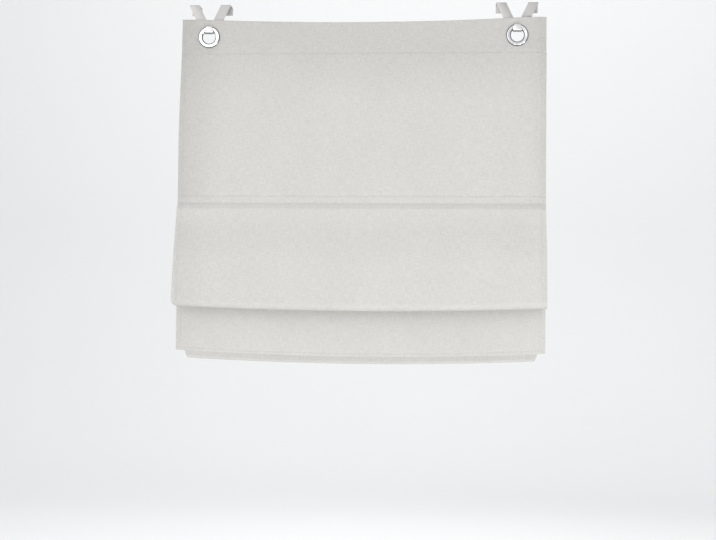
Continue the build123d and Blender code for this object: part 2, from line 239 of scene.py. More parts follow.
def ripple(x, s):
    """How far the cloth stands behind its line: slack between the rods, seams drawn in, puckers."""
    down = reach(s)
    slack = 1.0 - 0.85 * hump(s - S_FLAP, 20 * MM) - 0.85 * hump(s - S_ROD_2, 20 * MM)
    slack *= 1.0 - 0.7 * hump(s - fall.length, 30 * MM)
    broad = noise.noise(Vector((x * 6.5, down * 3.2, 1.7))) * BROAD_WAVE
    soft = noise.noise(Vector((x * 15, down * 6, 8.2))) * SOFT_WAVE
    fine = noise.noise(Vector((x * 70, down * 55, 4.1))) * FINE_WAVE
    depth = (broad + soft) * slack + fine
    for seam in CROSS_SEAMS:
        near = abs(s - seam)
        if near < 16 * MM:
            depth += SEAM_DIP * hump(near, SEAM_WIDTH)
            pull = noise.noise(Vector((x * 120, seam * 40, 2.2)))
            depth += SEAM_PUCKER * pull * hump(near, PUCKER_SPREAD)
    edge = abs(abs(x) - SIDE_SEAM)
    if edge < 12 * MM:
        depth += SIDE_DIP * hump(edge, SEAM_WIDTH)
        pull = noise.noise(Vector((x * 20, down * 90, 6.6)))
        depth += SIDE_PUCKER * pull * hump(edge, PUCKER_SPREAD)
    if down < 90 * MM:
        for side in SIDES.values():
            away = Vector((x - side * EYELET.x, TOP_Z - down - EYELET.z))
            if away.length < 70 * MM:
                spoke = math.atan2(away.y, away.x)
                pull = 0.55 * MM * math.cos(5 * spoke + 0.6 * side)
                pull += 0.25 * MM * math.cos(9 * spoke)
                depth += pull * hump(away.length - 22 * MM, 16 * MM)
                depth *= smooth((away.length - 17.5 * MM) / (12 * MM))
    return depth


def hang(x, s, behind=0.0):
    """Where a point of the cloth hangs: x across it, s along its line, and how far behind its face."""
    spot = fall.at(s) + fall.behind(s) * behind
    down = reach(s)
    drop = TOP_SAG * max(-0.12, 1 - (x / EYELET.x) ** 2) * (1 - smooth(down / TOP_SAG_FADE))
    spread = (x / HALF_WIDTH) ** 2
    pleat = smooth((s - S_FLAP) / (S_FOOT - S_FLAP))
    pleat *= 1 - smooth((s - S_FOOT) / (S_HAIRPIN - S_FOOT))
    lift = FLAP_SAG * (spread - FLAP_LEVEL) * pleat
    lift += bow(x) * smooth((s - S_LOWER + BOW_FADE) / (fall.length - S_LOWER + BOW_FADE))
    drawn = CORNER_DRAW * (1 - smooth(down / CORNER_DRAW_FADE)) * spread * (x < 0)
    drawn -= LEFT_FLARE * smooth(down / LEFT_FLARE_FADE) * spread * (x < 0)
    turned = smooth((x - HALF_WIDTH + 8 * MM) / (8 * MM)) * EDGE_TURN
    rolled = smooth((-x - HALF_WIDTH + 5 * MM) / (5 * MM)) * pleat * EDGE_TURN
    near_end = min(1.0, max(0.0, (-x - HALF_WIDTH + 9 * MM) / (9 * MM)))
    lift += FLAP_END_ROUND * (1 - math.sqrt(1 - near_end**2)) * hump(s - S_FOOT, 18 * MM)
    return Vector((
        x + drawn,
        spot.x + ripple(x, s) + turned + rolled,
        spot.y - drop + lift,
    ))


def rows_between(start, end, gap):
    """Distances along the fall: closer together at its bends and beside its seams."""
    marks = {start, end}
    marks.update(m for m in fall.marks if start < m < end)
    for seam in CROSS_SEAMS:
        for off in (-3, -1.6, -0.8, 0, 0.8, 1.6, 3):
            if start < seam + off * MM < end:
                marks.add(seam + off * MM)
    marks = sorted(marks)
    rows = [marks[0]]
    for mark in marks[1:]:
        span = mark - rows[-1]
        if span < 0.12 * MM and mark != end:
            continue
        parts = max(1, math.ceil(span / gap))
        first = rows[-1]
        rows.extend(first + span * k / parts for k in range(1, parts + 1))
    return rows


def rows_round(section, gap):
    """Distances along a tube's section, with a row at each of its own points."""
    rows = []
    for a, b in zip(section.marks, section.marks[1:]):
        parts = max(1, math.ceil((b - a) / gap))
        rows.extend(a + (b - a) * n / parts for n in range(parts))
    rows.append(section.length)
    return rows


def columns_across(half, gap, turned):
    """(x, depth behind the face) from side to side. A turned edge folds back on the wrong side."""
    inner = half - (SIDE_HEM_DEPTH if turned else 0)
    count = 2 * math.ceil(inner / gap)
    face = [(-inner + 2 * inner * k / count, 0.0) for k in range(count + 1)]
    if not turned:
        return face
    edge = []
    for off in (1.0, 1.8, 2.6, 4.0, 5.6, 7.2):
        edge.append((inner + off * MM, 0.0))
    centre = half - SIDE_FOLD
    for k in range(7):
        turn = math.pi * k / 6
        edge.append((centre + SIDE_FOLD * math.sin(turn), SIDE_FOLD * (1 - math.cos(turn))))
    for off in (6.0, 4.0, 2.0, 0.0):
        edge.append((inner + off * MM, 2 * SIDE_FOLD))
    mirrored = [(-x, depth) for x, depth in reversed(edge)]
    return mirrored + face + edge


# ---------------------------------------------------------------- making pieces

def new_piece(name, shape, finish):
    mesh = bpy.data.meshes.new(name)
    shape.to_mesh(mesh)
    shape.free()
    piece = bpy.data.objects.new(name, mesh)
    bpy.context.scene.collection.objects.link(piece)
    mesh.materials.append(finish)
    mesh.shade_smooth()
    return piece


def bake_modifiers(piece, sharp=50):
    """The finished mesh takes the place of the piece's modifiers."""
    depsgraph = bpy.context.evaluated_depsgraph_get()
    finished = bpy.data.meshes.new_from_object(piece.evaluated_get(depsgraph))
    finished.name = piece.name
    piece.modifiers.clear()
    piece.data = finished
    finished.shade_smooth()
    finished.set_sharp_from_angle(angle=math.radians(sharp))
    return piece


def woven_piece(name, columns, rows, place, finish, thickness,
                offset=0.0, holes=(), closed=False):
    """A flat grid of cloth laid where `place` says, with its own thickness. Its map is in metres."""
    shape = bmesh.new()
    across, along = len(columns) - 1, len(rows) - 1
    bmesh.ops.create_grid(shape, x_segments=across, y_segments=along, size=0.5, calc_uvs=True)
    flat_x = [0.0]
    for (ax, ad), (bx, bd) in zip(columns, columns[1:]):
        flat_x.append(flat_x[-1] + math.hypot(bx - ax, bd - ad))
    chart = shape.loops.layers.uv.verify()
    for face in shape.faces:
        for corner in face.loops:
            i = round((corner.vert.co.x + 0.5) * across)
            j = round((corner.vert.co.y + 0.5) * along)
            corner[chart].uv = (flat_x[i] - flat_x[-1] / 2, rows[j])
    for vert in shape.verts:
        i = round((vert.co.x + 0.5) * across)
        j = round((vert.co.y + 0.5) * along)
        x, depth = columns[i]
        vert.co = place(x, rows[j], depth)
    for centre, radius in holes:
        cut = []
        for face in shape.faces:
            away = face.calc_center_median() - centre
            if math.hypot(away.x, away.z) < radius:
                cut.append(face)
        bmesh.ops.delete(shape, geom=cut, context="FACES")
    if closed:
        bmesh.ops.remove_doubles(shape, verts=shape.verts, dist=0.02 * MM)
        bmesh.ops.recalc_face_normals(shape, faces=shape.faces)
    piece = new_piece(name, shape, finish)
    wall = piece.modifiers.new("thickness", "SOLIDIFY")
    wall.thickness = thickness
    wall.offset = offset
    return bake_modifiers(piece)


def stitch_template():
    """One stitch, a small plump bead of thread."""
    shape = bmesh.new()
    bmesh.ops.create_uvsphere(shape, u_segments=6, v_segments=4, radius=0.5)
    bmesh.ops.scale(shape, verts=shape.verts, vec=(0.62 * MM, 0.42 * MM, 2.5 * MM))
    mesh = bpy.data.meshes.new("stitch")
    shape.to_mesh(mesh)
    shape.free()
    return mesh


def sew(name, runs):
    """Stitches on the cloth's face, along runs from one (x, s) place to another."""
    template = stitch_template()
    shape = bmesh.new()
    for start, end in runs:
        start, end = Vector(start), Vector(end)
        count = max(1, int((end - start).length / STITCH_PITCH))
        step = (end - start) / count
        for k in range(count):
            here = start + step * (k + 0.5)
            spot = hang(here.x, here.y, STITCH_FACE)
            ahead = hang(here.x + step.x * 0.2, here.y + step.y * 0.2, STITCH_FACE)
            along = (ahead - spot).normalized()
            inward = fall.behind(here.y)
            side = along.cross(Vector((0, -inward.x, -inward.y))).normalized()
            out = side.cross(along)
            turn = Matrix((side, out, along)).transposed().to_4x4()
            copy = template.copy()
            copy.transform(Matrix.Translation(spot) @ turn)
            shape.from_mesh(copy)
            bpy.data.meshes.remove(copy)
    bpy.data.meshes.remove(template)
    return new_piece(name, shape, thread)


def spun_ring(name, profile, centre, steps, finish, thickness):
    """A line of (radius, y) turned once round the Y axis through the centre, in sheet metal."""
    shape = bmesh.new()
    verts = [shape.verts.new((centre.x + r, y, centre.z)) for r, y in profile]
    edges = [shape.edges.new(pair) for pair in zip(verts, verts[1:])]
    bmesh.ops.spin(shape, geom=verts + edges, cent=(centre.x, 0, centre.z), axis=(0, 1, 0),
                   angle=2 * math.pi, steps=steps, use_merge=True)
    bmesh.ops.remove_doubles(shape, verts=shape.verts, dist=0.01 * MM)
    bmesh.ops.recalc_face_normals(shape, faces=shape.faces)
    piece = new_piece(name, shape, finish)
    wall = piece.modifiers.new("sheet", "SOLIDIFY")
    wall.thickness = thickness
    wall.offset = 0
    return bake_modifiers(piece, 40)


def merged_copy(node):
    """The shape of a part of the frame, with its loose triangles joined."""
    shape = bmesh.new()
    shape.from_mesh(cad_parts[node].data)
    bmesh.ops.remove_doubles(shape, verts=shape.verts, dist=0.002 * MM)
    return shape


def softened(node, name, width, finish):
    """A copy of a part of the frame, with its sharp edges broken."""
    shape = merged_copy(node)
    bmesh.ops.dissolve_limit(
        shape, angle_limit=math.radians(3), verts=shape.verts, edges=shape.edges)
    paired = [e for e in shape.edges if len(e.link_faces) == 2]
    sharp = [e for e in paired if e.calc_face_angle() > math.radians(35)]
    bmesh.ops.bevel(shape, geom=sharp, offset=width, affect="EDGES", segments=2, profile=0.5,
                    material=-1, clamp_overlap=True)
    piece = new_piece(name, shape, finish)
    piece.data.set_sharp_from_angle(angle=math.radians(40))
    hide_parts(node)
    return piece


def twisted_cord(name, x, y, start, end):
    """Three strands laid together: a lobed ring carried down and turned as it goes."""
    radius = 0.7 * MM
    lay = 6.2 * MM  # one full turn of the strands
    shape = bmesh.new()
    bmesh.ops.create_circle(shape, segments=12, radius=radius)
    for vert in shape.verts:
        turn = math.atan2(vert.co.y, vert.co.x)
        vert.co *= 0.86 + 0.14 * math.cos(3 * turn)
    bmesh.ops.translate(shape, verts=shape.verts, vec=(x, y, start))
    length = start - end
    steps = math.ceil(length / (0.75 * MM))
    geom = list(shape.verts) + list(shape.edges)
    bmesh.ops.spin(shape, geom=geom, cent=(x, y, start), axis=(0, 0, -1),
                   dvec=(0, 0, -length / steps), angle=2 * math.pi * length / lay, steps=steps)
    bmesh.ops.holes_fill(shape, edges=[e for e in shape.edges if e.is_boundary], sides=0)
    bmesh.ops.recalc_face_normals(shape, faces=shape.faces)
    return new_piece(name, shape, cord_fibre)


# ---------------------------------------------------------------- finishes

LINEN_LIGHT = (0.572, 0.560, 0.533)
LINEN_DARK = (0.321, 0.314, 0.299)
# Painted shade on the linen over its doubled hems, its header, towards its top and sides and in its
# seams, and painted light where it turns out below the channel.
HEM_PAINTED_SHADE = 0.03  # painted shade: how much each place darkens the linen, and how far in it reaches
HEADER_PAINTED_SHADE = 0.05
TOP_PAINTED_SHADE = 0.27
TOP_SHADE_REACH = 75 * MM
LEFT_PAINTED_SHADE = 0.28
LEFT_HEADER_PAINTED_SHADE = 0.30
LEFT_SHADE_REACH = 84 * MM
RIGHT_HEADER_PAINTED_SHADE = 0.25
RIGHT_SHADE_REACH = 34 * MM
SEAM_PAINTED_SHADE = (0.08, 0.18, 0.10)  # painted shade in the top hem's seam and the channel's two
TURN_PAINTED_LIGHT = 0.24  # painted light: how much lighter the cloth is where it turns out below the channel, against the shade there
# The grey of painted shade and dark painted reflection in the eyelets, and of the painted shadow in the
# hooks' lowest bend.
PAINTED_DARK_GREY = (0.16, 0.16, 0.165)
STEP_RADIUS = 14.1 * MM  # the step pressed in each eyelet ring
HOOK_HIGHLIGHT_Z = -34 * MM  # a painted highlight, standing for the bright room's reflection, lightens the hooks below this height


class Shade:
    """One value in a finish's nodes. Arithmetic on it adds Math nodes."""

    def __init__(self, tree, socket=None):
        self.tree = tree
        self.socket = socket

    def node(self, kind, settings=None, sockets=None, result=0):
        made = self.tree.nodes.new(kind)
        for name, value in (settings or {}).items():
            setattr(made, name, value)
        for name, value in (sockets or {}).items():
            if isinstance(value, Shade):
                self.tree.links.new(value.socket, made.inputs[name])
            else:
                made.inputs[name].default_value = value
        return Shade(self.tree, made.outputs[result] if made.outputs else None)

    def maths(self, operation, *values):
        return self.node("ShaderNodeMath", {"operation": operation}, dict(enumerate(values)))

    def __add__(self, other):
        return self.maths("ADD", self, other)

    def __sub__(self, other):
        return self.maths("SUBTRACT", self, other)

    def __rsub__(self, other):
        return self.maths("SUBTRACT", other, self)

    def __mul__(self, other):
        return self.maths("MULTIPLY", self, other)

    __radd__ = __add__
    __rmul__ = __mul__


def start_finish(name):
    material = bpy.data.materials.new(name)
    material.use_nodes = True
    material.node_tree.nodes.clear()
    return material, Shade(material.node_tree)


def close_finish(shade, colour, roughness, height=None, depth=0.0, **surface):
    """The finish's surface, with `height` in relief `depth` deep."""
    sockets = {"Base Color": colour, "Roughness": roughness}
    sockets.update({key.replace("_", " "): value for key, value in surface.items()})
    if height is not None:
        relief = {"Strength": 1.0, "Distance": depth, "Height": height}
        sockets["Normal"] = shade.node("ShaderNodeBump", None, relief)
    surface_shader = shade.node("ShaderNodeBsdfPrincipled", None, sockets)
    shade.node("ShaderNodeOutputMaterial", None, {"Surface": surface_shader})


def where_on(shade, coordinates):
    """A place on the cloth's own map ("UV") or on the piece ("Object"), in metres."""
    return shade.node("ShaderNodeTexCoord", result={"UV": 2, "Object": 3}[coordinates])


def placed(shade, coordinates, scale, move=(0, 0, 0)):
    source = where_on(shade, coordinates)
    return shade.node("ShaderNodeMapping", None,
                      {"Vector": source, "Scale": scale, "Location": move})


def axes(place):
    """A place's X, Y and Z."""
    parted = place.node("ShaderNodeSeparateXYZ", None, {0: place})
    return [Shade(place.tree, out) for out in parted.socket.node.outputs]


def mottle(shade, place, detail=2.0, rough=0.5):
    return shade.node("ShaderNodeTexNoise", None,
                      {"Vector": place, "Scale": 1.0, "Detail": detail, "Roughness": rough})


def ramp(value, start, end):
    """0 up to `start`, 1 from `end` on."""
    return value.node("ShaderNodeMapRange", {"clamp": True}, {
        "Value": value, "From Min": start, "From Max": end, "To Min": 0.0, "To Max": 1.0})


def mixed(shade, amount, first, second):
    first, second = (c if isinstance(c, Shade) else (*c, 1) for c in (first, second))
    return shade.node("ShaderNodeMix", {"data_type": "RGBA", "clamp_factor": True},
                      {0: amount, 6: first, 7: second}, result=2)


def paint_light_and_shade_on_drop(tone, across, down, thread):
    """Painted shade and light on the whole drop: painted shade where hems double it, over the header,
    towards its top and sides and in its seams, and painted light where it turns out below the channel."""

    def between(value, start, end):
        return ramp(value, start / thread, end / thread)

    # Painted shade where the hems double the cloth and less light passes through.
    hem = 1 - between(down, CROSS_SEAMS[0] - 2 * MM, CROSS_SEAMS[0] + 3 * MM)
    side = between(across.maths("ABSOLUTE", across), SIDE_SEAM - 2 * MM, SIDE_SEAM + 2 * MM)
    # Painted shade over the header, and growing towards the top and both sides.
    header = 1 - between(down, S_CHANNEL, S_FLAP + 20 * MM)
    top = 1 - between(down, S_SEAM, S_SEAM + TOP_SHADE_REACH)
    left = between(0 - across, HALF_WIDTH - LEFT_SHADE_REACH, HALF_WIDTH)
    right = between(across, HALF_WIDTH - RIGHT_SHADE_REACH, HALF_WIDTH)
    tone = tone - across.maths("MAXIMUM", hem, side) * HEM_PAINTED_SHADE
    tone = tone - header * HEADER_PAINTED_SHADE - top * TOP_PAINTED_SHADE
    tone = tone - left.maths("POWER", left, 1.5) * (LEFT_PAINTED_SHADE + header * LEFT_HEADER_PAINTED_SHADE)
    tone = tone - right * header * RIGHT_HEADER_PAINTED_SHADE
    # Painted shade along the seams.
    for seam, seam_shade in zip(CROSS_SEAMS, SEAM_PAINTED_SHADE):
        near = down.maths("ABSOLUTE", down - seam / thread)
        tone = tone - (1 - between(near, 0.4 * MM, 1.8 * MM)) * seam_shade
    # Painted light where the cloth turns out below the channel, lightening the shade there.
    turned = between(down, S_FLAP, S_FLAP + 2 * MM)
    turn_light = turned * (1 - between(down, S_FLAP + 7 * MM, S_FLAP + 50 * MM))
    return tone + turn_light * TURN_PAINTED_LIGHT


def woven_finish(name, light, dark, thread, slub, relief, blind=False):
    """A plain weave with thick and thin yarns both ways. `blind` adds the painted shade and light of
    the drop.
    """
    material, shade = start_finish(name)
    across, down, _ = axes(placed(shade, "UV", (1 / thread, 1 / thread, 1)))
    weft_wave = across.maths("SINE", across * math.pi)
    warp_wave = down.maths("SINE", down * math.pi)
    weave = across.maths("ABSOLUTE", weft_wave * warp_wave)
    warp_place = placed(shade, "UV", (1 / (1.6 * thread), 1 / (13 * thread), 1))
    weft_place = placed(shade, "UV", (1 / (15 * thread), 1 / (1.5 * thread), 1), (3.1, 7.7, 0))
    yarns = mottle(shade, warp_place) * 0.5 + mottle(shade, weft_place) * 0.5
    heather = mottle(shade, placed(shade, "UV", (230, 300, 1), (0, 5.0, 0)), 3.0, 0.6)
    cloud = mottle(shade, placed(shade, "UV", (14, 12, 1), (9.0, 1.0, 0)))
    tone = (yarns - 0.5) * (2.2 * slub) + (heather - 0.5) * (0.8 * slub) + (cloud - 0.5) * 0.25
    tone = tone + weave * 0.12 + 0.45
    if blind:
        tone = paint_light_and_shade_on_drop(tone, across, down, thread)
    height = weave * 0.45 + yarns * 0.9 + heather * 0.4
    colour = mixed(shade, tone * 0.5 + 0.5, dark, light)
    close_finish(shade, colour, 0.96 - yarns * 0.12, height, relief, Specular_IOR_Level=0.22,
                 Sheen_Weight=0.12, Sheen_Roughness=0.5)
    return material


def thread_finish(name, colour, shadow):
    """Sewing thread: fine fibre, a little darker in its hollows."""
    material, shade = start_finish(name)
    fibre = mottle(shade, placed(shade, "Object", (2600, 2600, 2600)), 1.0)
    close_finish(shade, mixed(shade, fibre, shadow, colour), 0.75 + fibre * 0.15, fibre, 0.05 * MM,
                 Specular_IOR_Level=0.3)
    return material


def chrome_finish(name):
    """Polished plate with a fine haze, with painted shade and dark painted reflections round its rim,
    its step and its throat.
    """
    material, shade = start_finish(name)
    haze = mottle(shade, placed(shade, "Object", (900, 300, 900)), 3.0)
    spots = mottle(shade, placed(shade, "Object", (140, 140, 140)))
    x, _, z = axes(where_on(shade, "Object"))
    across = x.maths("ABSOLUTE", x) - EYELET.x
    away = z - EYELET.z
    radius = x.maths("SQRT", across * across + away * away)
    # Painted shade and dark painted reflections: darker round the rim, in the throat and along the
    # step.
    rim = ramp(radius, 16.0 * MM, 17.0 * MM)
    throat = ramp(radius, 12.9 * MM, 11.9 * MM)
    step = 1 - ramp(x.maths("ABSOLUTE", radius - STEP_RADIUS), 0.1 * MM, 0.5 * MM)
    painted_dark_mask = x.maths("MAXIMUM", rim, x.maths("MAXIMUM", throat, step * 0.45))
    colour = mixed(shade, painted_dark_mask, (0.90, 0.905, 0.915), PAINTED_DARK_GREY)
    close_finish(shade, colour, 0.10 + haze * 0.06 + spots * 0.05, haze, 0.003 * MM, Metallic=1.0)
    return material


def steel_finish(name, colour, shadow, roughness, highlight_below_z=None):
    """Steel, brushed up and down, with faint dull patches. A hook gets a painted highlight, standing
    for the bright room's reflection, below the height it is given, and a painted shadow in its lowest
    bend."""
    material, shade = start_finish(name)
    brush = mottle(shade, placed(shade, "Object", (2400, 800, 90)), 3.0, 0.6)
    patch = mottle(shade, placed(shade, "Object", (60, 60, 60)))
    tone = brush * 0.6 + patch * 0.4
    metal = mixed(shade, tone, shadow, colour)
    rough = roughness + tone * 0.16
    if highlight_below_z is not None:
        _, _, z = axes(where_on(shade, "Object"))
        # Painted highlight: the hook is lightened below the given height, standing for the bright
        # room's reflection.
        painted_highlight = ramp(z, highlight_below_z, highlight_below_z - 6 * MM)
        metal = mixed(shade, painted_highlight * (0.52 + patch * 0.2), metal, (0.90, 0.90, 0.90))
        rough = rough - painted_highlight * 0.12
        # Painted shadow in the hook's lowest bend.
        bend = 1 - ramp(z, HOOK_FOOT_Z + 0.6 * MM, HOOK_FOOT_Z + 1.9 * MM)
        metal = mixed(shade, bend * 0.85, metal, PAINTED_DARK_GREY)
    close_finish(shade, metal, rough, brush, 0.02 * MM, Metallic=0.92)
    return material


def plastic_finish(name, colour, shadow, roughness, grain=900.0, **surface):
    """Moulded plastic with a faint skin and uneven tone."""
    material, shade = start_finish(name)
    skin = mottle(shade, placed(shade, "Object", (grain, grain, grain)))
    cloud = mottle(shade, placed(shade, "Object", (90, 90, 90)))
    tinted = mixed(shade, cloud * 0.7 + skin * 0.3, shadow, colour)
    close_finish(shade, tinted, roughness + skin * 0.1, skin, 0.012 * MM, **surface)
    return material


def cord_finish(name):
    """Laid cord: fine fibre, with a little dust."""
    material, shade = start_finish(name)
    fibre = mottle(shade, placed(shade, "Object", (3000, 3000, 900)))
    dust = mottle(shade, placed(shade, "Object", (180, 180, 120)))
    tinted = mixed(shade, fibre * 0.5 + dust * 0.5, (0.58, 0.57, 0.54), (0.82, 0.81, 0.78))
    close_finish(shade, tinted, 0.7 + fibre * 0.2, fibre, 0.06 * MM, Specular_IOR_Level=0.3)
    return material


def paper_finish(name, colour, shadow):
    material, shade = start_finish(name)
    cloud = mottle(shade, placed(shade, "Object", (0.8, 0.8, 0.8)))
    close_finish(shade, mixed(shade, cloud, shadow, colour), 0.9, Specular_IOR_Level=0.1)
    return material


linen = woven_finish("linen_cloth", LINEN_LIGHT, LINEN_DARK, 0.85 * MM, 0.9, 0.22 * MM, blind=True)
sleeve_linen = woven_finish("sleeve_cloth", LINEN_LIGHT, LINEN_DARK, 0.85 * MM, 0.9, 0.22 * MM)
tape = woven_finish("channel_tape", (0.73, 0.72, 0.695), (0.47, 0.46, 0.445), 0.55 * MM, 0.7, 0.12 * MM)
thread = thread_finish("sewing_thread", (0.54, 0.53, 0.50), (0.36, 0.35, 0.33))
chrome = chrome_finish("eyelet_chrome")
hook_steel = steel_finish("hook_steel", (0.555, 0.545, 0.53), (0.40, 0.39, 0.38), 0.42, HOOK_HIGHLIGHT_Z)
rod_steel = steel_finish("bottom_rod_steel", (0.62, 0.62, 0.63), (0.48, 0.48, 0.49), 0.3)
spring_wire = steel_finish("spring_steel", (0.5, 0.5, 0.51), (0.34, 0.34, 0.35), 0.25)
fibreglass = plastic_finish("fibreglass_rod", (0.74, 0.74, 0.70), (0.60, 0.60, 0.56), 0.35, 1600.0)
cap_plastic = plastic_finish("rod_cap_plastic", (0.80, 0.80, 0.785), (0.70, 0.70, 0.685), 0.38)
ring_plastic = plastic_finish("ring_plastic", (0.83, 0.83, 0.81), (0.73, 0.73, 0.71), 0.25,
                              Coat_Weight=0.2)
bead_plastic = plastic_finish("bead_plastic", (0.82, 0.81, 0.79), (0.72, 0.71, 0.69), 0.3)
lock_plastic = plastic_finish("lock_plastic", (0.80, 0.80, 0.79), (0.69, 0.69, 0.68), 0.42)
button_plastic = plastic_finish("button_plastic", (0.62, 0.62, 0.61), (0.52, 0.52, 0.51), 0.36)
cord_fibre = cord_finish("lift_cord")


def dress(node, finish):
    """Give a part of the frame its finish."""
    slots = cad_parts[node].material_slots
    if len(slots):
        for slot in slots:
            slot.material = finish
    else:
        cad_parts[node].data.materials.append(finish)


# ---------------------------------------------------------------- camera, light, surroundings

CAMERA_PLACE = (0.152, -2.052, -0.495)
CAMERA_LENS = 63.5
CAMERA_YAW = 0.0754
CAMERA_PITCH = 0.0281
CAMERA_ROLL = 0.0087
FLOOR_Z = -1.3
FLOOR_HALF = 9
WALL_Y = 4.2
WALL_TOP_Z = 5
WALL_SWEEP = 1.2


def add_camera():
    data = bpy.data.cameras.new("camera")
    data.sensor_width = 36
    data.lens = CAMERA_LENS
    camera = bpy.data.objects.new("camera", data)
    camera.location = CAMERA_PLACE
    level = math.cos(CAMERA_PITCH)
    look = Vector((
        -math.sin(CAMERA_YAW) * level,
        math.cos(CAMERA_YAW) * level,
        math.sin(CAMERA_PITCH),
    ))
    camera.rotation_mode = "QUATERNION"
    camera.rotation_quaternion = Quaternion(look, -CAMERA_ROLL) @ look.to_track_quat("-Z", "Y")
    bpy.context.scene.collection.objects.link(camera)
    bpy.context.scene.camera = camera


def add_softbox(name, place, target, width, height, power):
    data = bpy.data.lights.new(name, "AREA")
    data.shape = "RECTANGLE"
    data.size = width
    data.size_y = height
    data.energy = power
    lamp = bpy.data.objects.new(name, data)
    lamp.location = place
    lamp.rotation_euler = (Vector(target) - Vector(place)).to_track_quat("-Z", "Y").to_euler()
    bpy.context.scene.collection.objects.link(lamp)


def add_surroundings():
    """A pale floor that curves up into a wall well behind the blind."""
    shape = bmesh.new()
    line = rounded_line([(-FLOOR_HALF, FLOOR_Z), (WALL_Y, FLOOR_Z), (WALL_Y, WALL_TOP_Z)], [WALL_SWEEP])
    verts = [shape.verts.new((-FLOOR_HALF, y, z)) for y, z in line]
    edges = [shape.edges.new(pair) for pair in zip(verts, verts[1:])]
    made = bmesh.ops.extrude_edge_only(shape, edges=edges)
    moved = [g for g in made["geom"] if isinstance(g, bmesh.types.BMVert)]
    bmesh.ops.translate(shape, verts=moved, vec=(2 * FLOOR_HALF, 0, 0))
    paper = paper_finish("studio_paper", (0.78, 0.78, 0.775), (0.755, 0.755, 0.75))
    floor = new_piece("floor", shape, paper)
    world = bpy.data.worlds.new("studio")
    bpy.context.scene.world = world
    world.use_nodes = True
    sky = world.node_tree.nodes["Background"].inputs
    sky["Color"].default_value = (0.96, 0.975, 1.0, 1)
    sky["Strength"].default_value = 0.86
    add_softbox("window_key", (-1.5, -2.7, 0.1), (0, 0, -0.3), 3.2, 2.2, 28.4)
    add_softbox("room_fill", (0.8, -1.7, -1.12), (0, 0, -0.45), 2.6, 0.25, 22.3)
    add_softbox("left_edge", (-2.3, 0.1, -0.1), (0, 0, -0.35), 1.0, 1.0, 20)
    add_softbox("wall_wash", (0, 1.8, 2.6), (0, WALL_Y, 0.2), 4.0, 1.2, 40)
    add_softbox("window_back", (0.2, 2.6, 0.6), (0, 0, -0.3), 2.2, 1.6, 16)
    bpy.context.scene.view_settings.view_transform = "Standard"


# ---------------------------------------------------------------- the cloth

def cloth_part(name, start, end, gap, turned=True, holes=()):
    """One piece of the drop, from one distance along the fall to another."""
    columns = columns_across(HALF_WIDTH, gap, turned)
    rows = rows_between(start, end, gap)
    return woven_piece(name, columns, rows, hang, linen, CLOTH_THICKNESS, holes=holes)


def side_runs(start, end):
    return [((side * SIDE_SEAM, start), (side * SIDE_SEAM, end)) for side in SIDES.values()]


def cross_runs(*seams):
    end = HALF_WIDTH - 1.5 * MM
    return [((-end, seam), (end, seam)) for seam in seams]


eyelet_holes = [(Vector((side * EYELET.x, 0, EYELET.z)), EYELET_CUT) for side in SIDES.values()]
header_top = cloth_part("header_top", 0.0, S_SEAM, FINE_COLUMN, turned=False, holes=eyelet_holes)
header_panel = cloth_part("header_panel", S_SEAM, S_CHANNEL, WIDE_COLUMN)
channel_band = cloth_part("channel_band", S_CHANNEL, S_FLAP, WIDE_COLUMN)
flap_front = cloth_part("flap_front", S_FLAP, S_FOLD, WIDE_COLUMN)
lower_cloth = cloth_part("lower_cloth", S_FOLD, fall.length, WIDE_COLUMN)

header_top_stitches = sew(
    "header_top_stitches", cross_runs(CROSS_SEAMS[0]) + side_runs(S_TOP + 2 * MM, S_SEAM))
header_panel_stitches = sew("header_panel_stitches", side_runs(S_SEAM, S_CHANNEL))
channel_band_stitches = sew("channel_band_stitches", cross_runs(*CROSS_SEAMS[1:3]))
flap_front_stitches = sew("flap_front_stitches", side_runs(S_FLAP, S_FOLD))
lower_cloth_stitches = sew(
    "lower_cloth_stitches", cross_runs(*CROSS_SEAMS[3:]) + side_runs(S_FOLD, fall.length - 3 * MM))

for piece in (header_top, header_panel, channel_band, flap_front, lower_cloth):
    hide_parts("blind_cloth")
for piece in (header_top, header_top_stitches):
    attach(piece, "header")
for piece in (header_panel, header_panel_stitches):
    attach(piece, "header")
    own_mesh(piece)
for piece in (channel_band, channel_band_stitches):
    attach(piece, "first_rod")
for piece in (flap_front, flap_front_stitches):
    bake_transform(piece)
for piece in (lower_cloth, lower_cloth_stitches):
    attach(piece, "second_rod")


# ---------------------------------------------------------------- pockets, sleeve, cords

def pocket(number, rod, seams, body):
    """Tape sewn along both edges behind the cloth, standing off round its rod."""
    front = 0.95 * MM
    back = POCKET_BACK - TAPE_THICKNESS / 2
    edge, foot, crown = 6.4 * MM, 4.4 * MM, 2.4 * MM
    section = Fall(
        [(front, rod.z + edge), (front, rod.z + foot), (back, rod.z + crown),
         (back, rod.z - crown), (front, rod.z - foot), (front, rod.z - edge)],
        [1.0 * MM, 1.9 * MM, 1.9 * MM, 1.0 * MM],
    )

    def place(x, s, depth):
        spot = section.at(s)
        bulge = (spot.x - front) / (back - front)
        gather = noise.noise(Vector((x * 90, spot.y * 60, number * 5.0))) * TAPE_RUMPLE * (1 - bulge)
        slack = noise.noise(Vector((x * 24, 3.0, number * 2.0))) * TAPE_RUMPLE * bulge
        cloth_y = ripple(x, seams[0] if spot.y > rod.z else seams[1]) * (1 - bulge)
        y = spot.x + max(0, gather) + slack * 0.5 + cloth_y
        return Vector((x, y, spot.y + slack * 0.4))

    columns = columns_across(POCKET_END, WIDE_COLUMN, False)
    rows = rows_round(section, 1.2 * MM)
    piece = woven_piece(f"rod_pocket_{number}_tape", columns, rows, place, tape,
                        TAPE_THICKNESS)
    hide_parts(f"rod_pocket_{number}")
    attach(piece, body)
    return piece


